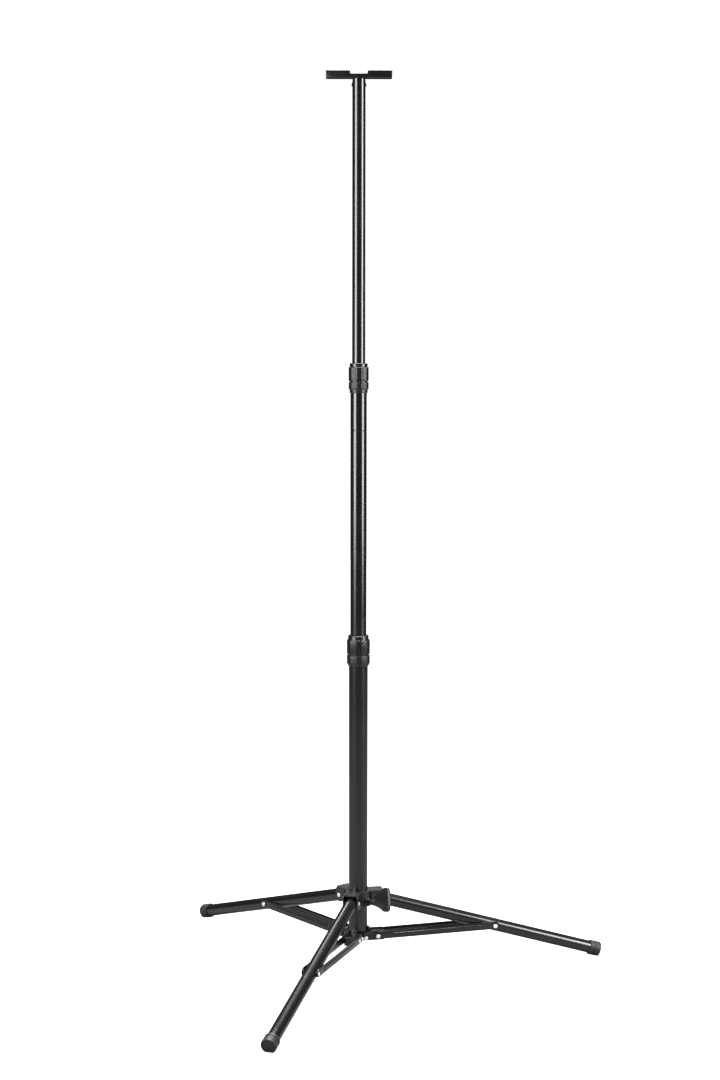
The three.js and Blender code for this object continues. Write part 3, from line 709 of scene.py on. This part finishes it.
lock_base(
    "lower_lock_base", [(495, 16.1), (495.3, 16.55), (496, 16.85), (498, 17.05)],
    (498, 511.8), 530.5, grip=18.25, neck=16.2, bore=15.2,
)
lock_nut("lower_lock_nut", (513.4, 536.5), 16.25, 543.5, 530.5, grip=18.25, bores=(16.4, 14.9, 13.0))
lock_base(
    "upper_lock_base", [(925, 13.5), (925.3, 13.85), (926, 14.0), (930.6, 14.2), (931, 14.5)],
    (931, 942.2), 958.5, grip=15.6, neck=13.9, bore=12.9,
)
lock_nut("upper_lock_nut", (943.8, 965.5), 13.9, 971.7, 958.5, grip=15.6, bores=(14.1, 12.4, 10.5))

# %% [markdown]
# ## Channel head
# The head is a length of 1.8 mm sheet bent into a U. Bending gives it a round outer edge and a smaller
# round inner edge. A press took a notch out of the middle of both walls, with round inner corners so
# that the sheet doesn't tear. So the section is drawn once with its bends, extruded, and then cut.

# %% Channel head
ALONG_SECTION = Matrix(((0, 0, 1, 0), (1, 0, 0, 0), (0, 1, 0, 0), (0, 0, 0, 1)))
head_low, head_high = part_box("head_channel")
head_half, head_side, head_sheet = head_high.x, head_high.y, 1.8 * MM
web_top = head_low.z + head_sheet
BEND = 1.1 * MM

head_section = soften(
    [
        (-head_side, head_high.z, 0.5 * MM), (-head_side, head_low.z, BEND), (head_side, head_low.z, BEND),
        (head_side, head_high.z, 0.5 * MM), (head_side - head_sheet, head_high.z, 0.5 * MM),
        (head_side - head_sheet, web_top, 0.4 * MM), (head_sheet - head_side, web_top, 0.4 * MM),
        (head_sheet - head_side, head_high.z, 0.5 * MM),
    ],
    0, steps=5,
)
channel = plate("head_channel", head_section, -head_half, head_half, rim=0.3 * MM)
channel.transform(ALONG_SECTION)
NOTCH_HALF, NOTCH_DEPTH = 13.5 * MM, 5.2 * MM
notch_outline = soften(
    [
        (-NOTCH_HALF, head_high.z - NOTCH_DEPTH, 1.6 * MM), (NOTCH_HALF, head_high.z - NOTCH_DEPTH, 1.6 * MM),
        (NOTCH_HALF, head_high.z + 2 * MM, 0), (-NOTCH_HALF, head_high.z + 2 * MM, 0),
    ],
    0, steps=5,
)
notch = plate("notch", notch_outline, -head_side - MM, head_side + MM)
notch.transform(UPRIGHT)
corner_cuts = []
for way in (-1, 1):
    corner_outline = [
        (way * (head_half + MM), head_low.z - MM), (way * (head_half + MM), head_low.z + 1.5 * MM),
        (way * head_half, head_low.z + 1.5 * MM), (way * (head_half - 1.5 * MM), head_low.z),
        (way * (head_half - 1.5 * MM), head_low.z - MM),
    ]
    corner = plate("corner", corner_outline, -head_side - MM, head_side + MM)
    corner.transform(UPRIGHT)
    corner_cuts.append(corner)
bolt_hole = turned("bolt_hole", mm((0, 1400), (2.7, 1400), (2.7, 1412), (0, 1412)), 48)
channel = combine("head_channel", channel, [notch, *corner_cuts, bolt_hole], "DIFFERENCE")
put("head_channel_skin", eased(channel, 0.22 * MM), ["head_channel"])
print("channel", round(2 * head_half / MM, 1), "x", round(2 * head_side / MM, 1), "mm, web top at", round(web_top, 4))

# %% [markdown]
# ## Screws of the head
# A button head bolt holds the channel to the plug in the top tube, and two smaller screws hold the plug
# in the tube. All are turned from bar, with a hexagon pressed into the head for the key.

# %% Screws of the head


def button_screw(name, node, shank, head, height, bottom, seat, key, place):
    """A button head screw along +Z with its seat at the given height, all in millimetres, then placed."""
    dome = []
    for step in range(9):
        angle = math.pi / 2 * step / 8
        dome.append((head * math.cos(angle * 0.78) if step < 8 else 0, seat + height * math.sin(angle)))
    top = seat + height
    outline = soften([(0, bottom, 0), (shank, bottom, 0.3), (shank, seat, 0), (head, seat, 0.2)], 0, 2)
    outline += [(r, z) for r, z in dome[1:-1]] + [(key * 1.25, top), (0, top)]
    body = turned(node, mm(*outline), 64)
    hexagon = [(key * math.cos(math.pi * k / 3) * MM, key * math.sin(math.pi * k / 3) * MM) for k in range(6)]
    recess = plate("recess", hexagon, (top - height * 0.62) * MM, (top + 1) * MM)
    body = eased(combine(node, body, [recess], "DIFFERENCE"), 0.08 * MM, 2, 40)
    put(name, body, [node], place)


button_screw("head_bolt_skin", "head_bolt", 2.5, 6, 1.6, -24, 0.15, 2.2, Matrix.Translation((0, 0, web_top)))
screw_height = (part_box("head_screw_right")[0].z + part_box("head_screw_right")[1].z) / 2
for side, azimuth in (("right", 0), ("left", math.pi)):
    place = Matrix.Translation((0, 0, screw_height)) @ Matrix.Rotation(azimuth, 4, "Z") @ ALONG_X
    button_screw(f"head_screw_{side}_skin", f"head_screw_{side}", 1.8, 3, 1.15, 4, 10.35, 1.2, place)
print("side screws at", round(screw_height, 4), "m")

# %% [markdown]
# ## Where the tripod's pieces sit
# Each leg lives in one upright plane through the pole. A matrix per leg takes a point drawn with x away
# from the pole and z up to its place in the stand. The legs and braces lean in that plane. Their
# directions are measured: both run from their own hinge to the rivet that joins them.

# %% Places of the legs and braces


def centre(node):
    low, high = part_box(node)
    return (low + high) / 2


def frame_toward(origin, target, side):
    """A matrix whose x runs from origin to target and whose y is side."""
    x = (target - origin).normalized()
    y = Vector(side).normalized()
    z = x.cross(y)
    return Matrix(((x.x, y.x, z.x, origin.x), (x.y, y.y, z.y, origin.y), (x.z, y.z, z.z, origin.z), (0, 0, 0, 1)))


spoke, leg_place, brace_place, brace_span = {}, {}, {}, {}
for name in LEGS:
    hinge, hub_hinge = joint[f"leg_fold_{name}"], joint[f"brace_fold_{name}"]
    leg_pivot, hub_pivot = Vector(hinge["pos_m"]), Vector(hub_hinge["pos_m"])
    meeting = (centre(f"brace_rivet_{name}_a") + centre(f"brace_rivet_{name}_b")) / 2
    spoke[name] = Matrix.Rotation(math.atan2(leg_pivot.y, leg_pivot.x), 4, "Z")
    leg_place[name] = frame_toward(leg_pivot, meeting, hinge["axis"])
    brace_place[name] = frame_toward(hub_pivot, meeting, hinge["axis"])
    brace_span[name] = (meeting - hub_pivot).length
    leg_slope = math.degrees(math.acos(-leg_place[name][2][0]))
    print(name, "brace", round(brace_span[name] / MM, 2), "mm, leg slope", round(leg_slope, 2))

# %% [markdown]
# ## Legs and feet
# A leg is the same coated tube in a thinner size. Its rubber foot is a slip-on cap with one groove
# moulded round it, and it has worn flat where it stands: its lowest points are pressed to the floor.

# %% Legs and feet
LEG_RADIUS, LEG_WALL = 10 * MM, 1.2 * MM
for name in LEGS:
    place = leg_place[name]
    inverse = place.inverted()
    along = [(inverse @ v.co).x for v in frame["nodes"][f"leg_tube_{name}"].data.vertices]
    near, far = min(along), max(along)
    lip, rest = 0.35 * MM, 3 * MM
    outline = soften(
        [
            (LEG_RADIUS - LEG_WALL, near, lip), (LEG_RADIUS, near, lip), (LEG_RADIUS, near + rest, 0),
            (LEG_RADIUS, far - rest, 0), (LEG_RADIUS, far, lip), (LEG_RADIUS - LEG_WALL, far, lip),
        ],
        0,
    )
    put(f"leg_tube_{name}_skin", turned("leg_tube", outline, 72), [f"leg_tube_{name}"], place @ ALONG_X)

    along = [(inverse @ v.co).x / MM for v in frame["nodes"][f"foot_cap_{name}"].data.vertices]
    start, end = min(along), max(along)
    cap_outline = soften(
        [
            (10.2, start, 0.15), (12, start, 0.7), (12, start + 4.6, 0.3), (10.85, start + 4.9, 0.25),
            (10.85, start + 7, 0.25), (12, start + 7.3, 0.3), (12.05, end - 2, 0), (12, end, 1.4), (9.6, end, 0.5),
            (9.2, end - 0.6, 0.5), (0, end - 0.6, 0), (0, end - 1.8, 0), (10.2, end - 1.8, 0),
        ],
        0, steps=4,
    )
    cap = turned("foot_cap", mm(*cap_outline), 72)
    cap.transform(place @ ALONG_X)
    for vertex in cap.vertices:
        vertex.co.z = max(vertex.co.z, 0.0)
    put(f"foot_cap_{name}_skin", cap, [f"foot_cap_{name}"])
    print(name, "leg from", round(near / MM, 1), "mm, foot ends at", round(end, 1), "mm")

# %% [markdown]
# ## Brace bars
# Two flat bars stand beside each leg. They are stamped from 1.5 mm sheet, round at both ends, and
# stiffened by a long bead that stands out on the outer face. The stamping rounds the rims, and the
# bead's other side is a hollow. The middle of a bar lies a little above the line of its rivets.

# %% Brace bars


def capsule(start, end, rise, radius, steps=20):
    """A slot-shaped outline from start to end along x, with its middle line at y = rise."""
    points = []
    for step in range(steps + 1):
        angle = math.pi / 2 + math.pi * step / steps
        points.append((start + radius * math.cos(angle), rise + radius * math.sin(angle)))
    for step in range(steps + 1):
        angle = -math.pi / 2 + math.pi * step / steps
        points.append((end + radius * math.cos(angle), rise + radius * math.sin(angle)))
    return points


BAR_INSIDE, BAR_SHEET, BAR_HALF, BAR_RISE = 11.5, 1.5, 6.2, 1.5
BEAD_GAP, BEAD_HALF = 27.2, 2.7
for name in LEGS:
    span = brace_span[name] / MM
    up = math.copysign(1, brace_place[name][2][2])
    for side, way in (("a", 1), ("b", -1)):
        node = f"brace_bar_{name}_{side}"
        rise = -way * up * BAR_RISE
        blank = plate(node, mm(*capsule(0, span, rise, BAR_HALF, 28)), -BAR_SHEET * MM, 0, rim=0.35 * MM)
        bead_outline = mm(*capsule(BEAD_GAP, span - BEAD_GAP, rise, BEAD_HALF))
        bead = plate("bead", bead_outline, -0.6 * MM, 1.05 * MM, rim=1 * MM, steps=5)
        hollow_outline = mm(*capsule(BEAD_GAP, span - BEAD_GAP, rise, BEAD_HALF - 0.8))
        hollow = plate("hollow", hollow_outline, -3 * MM, -0.9 * MM, rim=0.3 * MM)
        holes = [turned("hole", mm((0, -4), (2.4, -4), (2.4, 4), (0, 4)), 32) for end in ("hub", "leg")]
        holes[1].transform(Matrix.Translation((span * MM, 0, 0)))
        bar = combine(node, combine(node, blank, [bead], "UNION"), [hollow, *holes], "DIFFERENCE")
        outer_face = Matrix.Translation((0, way * (BAR_INSIDE + BAR_SHEET) * MM, 0))
        facing_out = Matrix.Rotation(-way * math.pi / 2, 4, "X")
        put(node + "_skin", bar, [node], brace_place[name] @ outer_face @ facing_out)
print("brace bars", 2 * len(LEGS))

# %% [markdown]
# ## Rivets and spacers
# Everything that turns, turns on a bright rivet. A rivet's head is a low dome with a small dimple from
# the punch that spread it. The spacers between bar and leg are black plastic rings.

# %% Rivets and spacers
RIVET_SHANK, RIVET_HEAD, RIVET_RISE = 2.2, 3.25, 1.0


def rivet_head(face):
    """The dome's outline in millimetres, from its rim out and in to the axis, standing on the given face."""
    dome = [(RIVET_HEAD - 0.1, face), (RIVET_HEAD, face + 0.12)]
    for step in range(1, 8):
        angle = math.pi / 2 * step / 8
        dome.append((RIVET_HEAD * math.cos(angle), face + 0.12 + (RIVET_RISE - 0.12) * math.sin(angle)))
    return dome + [(0.75, face + RIVET_RISE), (0.55, face + RIVET_RISE - 0.16), (0, face + RIVET_RISE - 0.2)]


def whole_rivet(node, face, place):
    head = rivet_head(face)
    outline = [(r, -h) for r, h in reversed(head)] + [(RIVET_SHANK, -face), (RIVET_SHANK, face)] + head
    put(node + "_skin", turned(node, mm(*outline), 48), [node], place @ ALONG_Y)


for name in LEGS:
    upright = spoke[name]
    leg_pivot, hub_pivot = Vector(joint[f"leg_fold_{name}"]["pos_m"]), Vector(joint[f"brace_fold_{name}"]["pos_m"])
    at_leg, at_hub = Matrix.Translation(leg_pivot) @ upright, Matrix.Translation(hub_pivot) @ upright
    at_bracket = Matrix.Translation(centre(f"hub_rivet_{name}")) @ upright
    whole_rivet(f"leg_pivot_rivet_{name}", 12.65, at_leg)
    whole_rivet(f"brace_pivot_rivet_{name}", 13.15, at_hub)
    whole_rivet(f"hub_rivet_{name}", 11.35, at_bracket)
    for side, turn_round in (("a", 0), ("b", math.pi)):
        at_end = brace_place[name] @ Matrix.Translation((brace_span[name], 0, 0))
        place = at_end @ Matrix.Rotation(turn_round, 4, "X") @ ALONG_Y
        stub = [(0, 10.35), (RIVET_SHANK, 10.35), (RIVET_SHANK, 13.15)] + rivet_head(13.15)
        node = f"brace_rivet_{name}_{side}"
        put(node + "_skin", turned(node, mm(*stub), 48), [node], place)
        ring = soften([(2.4, 10.35, 0.1), (5, 10.35, 0.25), (5, 11.2, 0.25), (2.4, 11.2, 0.1)], 0, 3)
        node = f"brace_washer_{name}_{side}"
        put(node + "_skin", turned(node, mm(*ring), 48), [node], place)

# %% [markdown]
# ## Hub and brackets
# Under the pole sits a moulded hub: a plug in the tube's end, with a lug below each leg. A bracket of
# thin sheet is folded over each lug, riveted to it, and the braces turn on a second rivet through both.
# A folded sheet keeps one thickness round its bends, so the bracket is drawn as its section, extruded
# along the arm, and trimmed to its sloping end.

# %% Hub and brackets


def star(reach, half, corner, fillet, azimuths):
    """A star outline in millimetres with one straight arm per azimuth."""
    hollow = half / math.sin(math.pi / 3)
    outline = []
    for azimuth in azimuths:
        turn_to = Matrix.Rotation(azimuth, 2)
        for x, y, radius in (
            (reach, -half, corner), (reach, half, corner),
            (hollow * math.cos(math.pi / 3), hollow * math.sin(math.pi / 3), fillet),
        ):
            point = turn_to @ Vector((x, y))
            outline.append((point.x, point.y, radius))
    return mm(*soften(outline, 0, 8))


azimuths = sorted(math.atan2(spoke[name][1][0], spoke[name][0][0]) % (2 * math.pi) for name in LEGS)
hub = plate("lower_hub", star(41, 9.7, 1.2, 2.5, azimuths), 50.3 * MM, 65 * MM, rim=0.7 * MM, steps=3)
stem_outline = soften(
    [(0, 51.3, 0), (9.5, 51.3, 0.3), (9.5, 66.8, 0), (13.6, 66.8, 0.2), (13.6, 80, 1), (0, 80, 0)], 0, 4
)
parts = [turned("stem", mm(*stem_outline), 64)]
cuts = []
for name in LEGS:
    tongue_outline = mm(*soften([(15.3, -5), (19, -5), (19, 5), (15.3, 5)], 0.6))
    tongue = plate("tongue", tongue_outline, 64 * MM, 71 * MM, rim=0.4 * MM)
    tongue.transform(spoke[name])
    parts.append(tongue)
    for x, z in ((10.7, 54.4), (30.4, 57)):
        hole = turned("hole", mm((0, -11), (2.4, -11), (2.4, 11), (0, 11)), 32)
        hole.transform(spoke[name] @ Matrix.Translation((x * MM, 0, z * MM)) @ ALONG_Y)
        cuts.append(hole)
hub = combine("lower_hub", combine("lower_hub", hub, parts, "UNION"), cuts, "DIFFERENCE")
put("lower_hub_skin", hub, ["lower_hub"])

BEND_OUTER, BEND_INNER = 1.9, 0.7
for name in LEGS:
    section = soften(
        [
            (-11.2, 51, 0.3), (-10, 51, 0.3), (-10, 65.3, BEND_INNER), (10, 65.3, BEND_INNER), (10, 51, 0.3),
            (11.2, 51, 0.3), (11.2, 66.5, BEND_OUTER), (-11.2, 66.5, BEND_OUTER),
        ],
        0, 5,
    )
    bracket = plate("bracket", mm(*section), 7.5 * MM, 42 * MM)
    bracket.transform(ALONG_SECTION)
    slope = plate("slope", mm((36, 51), (35.7, 50), (50, 50), (50, 67), (41.15, 67), (41, 66.5)), -12 * MM, 12 * MM)
    slope.transform(UPRIGHT)
    opening = box_mesh("opening", (0, -9.2 * MM, 60 * MM), (19.3 * MM, 9.2 * MM, 70 * MM))
    ear_trim = plate("ear_trim", mm((0, 66.1), (19.3, 66.1), (19.3, 70), (0, 70)), -12 * MM, 12 * MM)
    ear_trim.transform(UPRIGHT)
    holes = []
    for x, z in ((10.7, 54.4), (30.4, 57)):
        hole = turned("hole", mm((0, -12), (2.4, -12), (2.4, 12), (0, 12)), 32)
        hole.transform(Matrix.Translation((x * MM, 0, z * MM)) @ ALONG_Y)
        holes.append(hole)
    bracket = combine("bracket", bracket, [slope, opening, ear_trim, *holes], "DIFFERENCE")
    put(f"hub_bracket_{name}_skin", eased(bracket, 0.2 * MM), [f"hub_bracket_{name}"], spoke[name])
print("hub arms at", [round(math.degrees(a), 2) for a in azimuths])

# %% [markdown]
# ## Collar
# The collar is one moulding: a sleeve that slides on the pole, a flat star that reaches over the legs,
# a pair of ears at each leg's hinge, and a boss for the wing knob's screw. Moulded edges are round, so
# the parts are joined first and the whole is eased once, which also softens the inner corners.

# %% Collar
EAR_INSIDE, EAR_OUTSIDE = 10.9, 12.5
knob_axis = Vector(joint["knob_turn"]["axis"]).normalized()
knob_pos = Vector(joint["knob_turn"]["pos_m"])
knob_side = Vector((0, 0, 1)).cross(knob_axis).normalized()
knob_place = frame_toward(knob_pos, knob_pos + knob_axis, knob_side)

collar = plate("collar", star(40, 12.5, 3.5, 14, azimuths), 130.5 * MM, 132.5 * MM)
sleeve = turned("sleeve", mm((0, 111), (20, 111), (20, 132), (0, 132)), 96)
boss = turned("boss", mm((0, -22.5), (6, -22.5), (6, 0), (0, 0)), 48)
boss.transform(knob_place @ ALONG_X)
parts, cuts = [sleeve, boss], []
for name in LEGS:
    ear_outline = mm(*soften(
        [(18.5, 131.5, 0), (18.5, 112, 0.8), (28.3, 108.5, 4), (40, 108.5, 9), (40, 129, 0), (36.5, 131.5, 0)], 0, 10,
    ))
    for low, high in ((-EAR_OUTSIDE, -EAR_INSIDE), (EAR_INSIDE, EAR_OUTSIDE)):
        ear = plate("ear", ear_outline, low * MM, high * MM)
        ear.transform(spoke[name] @ UPRIGHT)
        parts.append(ear)
    hole = turned("hole", mm((0, -14), (2.4, -14), (2.4, 14), (0, 14)), 32)
    hole.transform(Matrix.Translation(joint[f"leg_fold_{name}"]["pos_m"]) @ spoke[name] @ ALONG_Y)
    cuts.append(hole)
cuts.append(turned("bore", mm((0, 90), (15.3, 90), (15.3, 140), (0, 140)), 96))
for radius, depth in ((2.7, -14), (4.6, -7.3)):
    hole = turned("hole", mm((0, depth), (radius, depth), (radius, 1), (0, 1)), 48)
    hole.transform(knob_place @ ALONG_X)
    cuts.append(hole)
collar = combine("collar", combine("collar", collar, parts, "UNION"), cuts, "DIFFERENCE")
put("collar_skin", eased(collar, 0.45 * MM, 3), ["collar"])

# %% [markdown]
# ## Wing knob
# The thumb screw's head is a flat fan, thick enough to grip, that flares to two round lobes. Moulders
# core out such a wing so that it cools evenly: a raised rim runs round its edge, and the field inside
# it is thinner. A tapered hub carries the steel screw.

# %% Wing knob
KNOB_ROLL = math.radians(-12.6)
WING_LENGTH, WING_HALF_THICK, LOBE_HALF, LOBE_RADIUS = 50.0, 2.5, 19.0, 7.0


def curve(start, control, end, steps=12):
    """Points of a quadratic curve, without its first one."""
    points = []
    for step in range(1, steps + 1):
        t = step / steps
        points.append(tuple(
            (1 - t) ** 2 * start[i] + 2 * t * (1 - t) * control[i] + t ** 2 * end[i] for i in range(2)
        ))
    return points


lobe_x, lobe_y = WING_LENGTH - LOBE_RADIUS, LOBE_HALF - LOBE_RADIUS
upper = [(0.8, 4.0)]
upper += curve(upper[-1], (21, 7.5), (lobe_x - 9.6, lobe_y + 4.2))
upper += curve(upper[-1], (lobe_x - LOBE_RADIUS, LOBE_HALF), (lobe_x, LOBE_HALF), 8)
for step in range(1, 11):
    angle = math.pi / 2 * (1 - step / 10)
    upper.append((lobe_x + LOBE_RADIUS * math.cos(angle), lobe_y + LOBE_RADIUS * math.sin(angle)))
upper += curve(upper[-1], (WING_LENGTH + 0.6, lobe_y / 2), (WING_LENGTH + 0.6, 0), 10)
wing_outline = upper + [(x, -y) for x, y in reversed(upper[:-1])]


def inset(outline, distance):
    """Moves a clockwise or anticlockwise outline inwards along its own normals."""
    area = sum(a[0] * b[1] - b[0] * a[1] for a, b in zip(outline, outline[1:] + outline[:1]))
    inward = 1 if area > 0 else -1
    moved = []
    for i, point in enumerate(outline):
        before, after = outline[i - 1], outline[(i + 1) % len(outline)]
        tangent = Vector((after[0] - before[0], after[1] - before[1])).normalized()
        moved.append((point[0] - inward * tangent.y * distance, point[1] + inward * tangent.x * distance))
    return moved


wing = plate("wing", mm(*wing_outline), -WING_HALF_THICK * MM, WING_HALF_THICK * MM, rim=0.9 * MM, steps=4)
field_outline = [(x, y) for x, y in inset(wing_outline, 2.4) if x > 13]
fields = [
    plate("field", mm(*field_outline), 1.5 * MM, 4 * MM, rim=0.4 * MM, steps=2),
    plate("field", mm(*field_outline), -4 * MM, -1.5 * MM, rim=0.4 * MM, steps=2),
]
wing = combine("wing", wing, fields, "DIFFERENCE")
wing.transform(Matrix.Rotation(KNOB_ROLL, 4, "X") @ UPRIGHT)
hub_outline = soften([(0, 0.8, 0), (4.3, 0.8, 0.4), (4.5, 9, 2), (3.2, 17, 1.5), (0, 17, 0)], 0, 5)
knob_hub = turned("knob_hub", mm(*hub_outline), 48)
knob_hub.transform(ALONG_X)
socket = turned("socket", mm((0, 0), (2.7, 0), (2.7, 9.3), (0, 9.3)), 32)
socket.transform(ALONG_X)
knob = combine("wing_knob", combine("wing_knob", wing, [knob_hub], "UNION"), [socket], "DIFFERENCE")
put("wing_knob_skin", knob, ["wing_knob"], knob_place)
print("knob points along", [round(v, 3) for v in knob_axis])

# %% [markdown]
# ## Pieces kept from the frame
# The split collets, the guide bushes, the head's plug, and the knob's stud and insert sit inside other
# pieces. The frame already shapes them, so they stay as they are and only get their finish.

# %% Pieces kept from the frame
KEPT = (
    "lower_lock_collet", "upper_lock_collet", "middle_guide_bush", "top_guide_bush",
    "head_plug", "clamp_stud", "collar_insert",
)
for node_name in KEPT:
    kept = frame["nodes"][node_name]
    kept.data.materials.clear()
    kept.data.materials.append(FINISHES[slot_of[node_name]])
shown = sorted(name for name, kept in frame["nodes"].items() if not kept.hide_render)
print("kept", shown)
assert shown == sorted(KEPT)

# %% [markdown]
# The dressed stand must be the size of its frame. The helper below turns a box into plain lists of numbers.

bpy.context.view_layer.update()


def rows(box):
    return [[float(value) for value in corner] for corner in box]
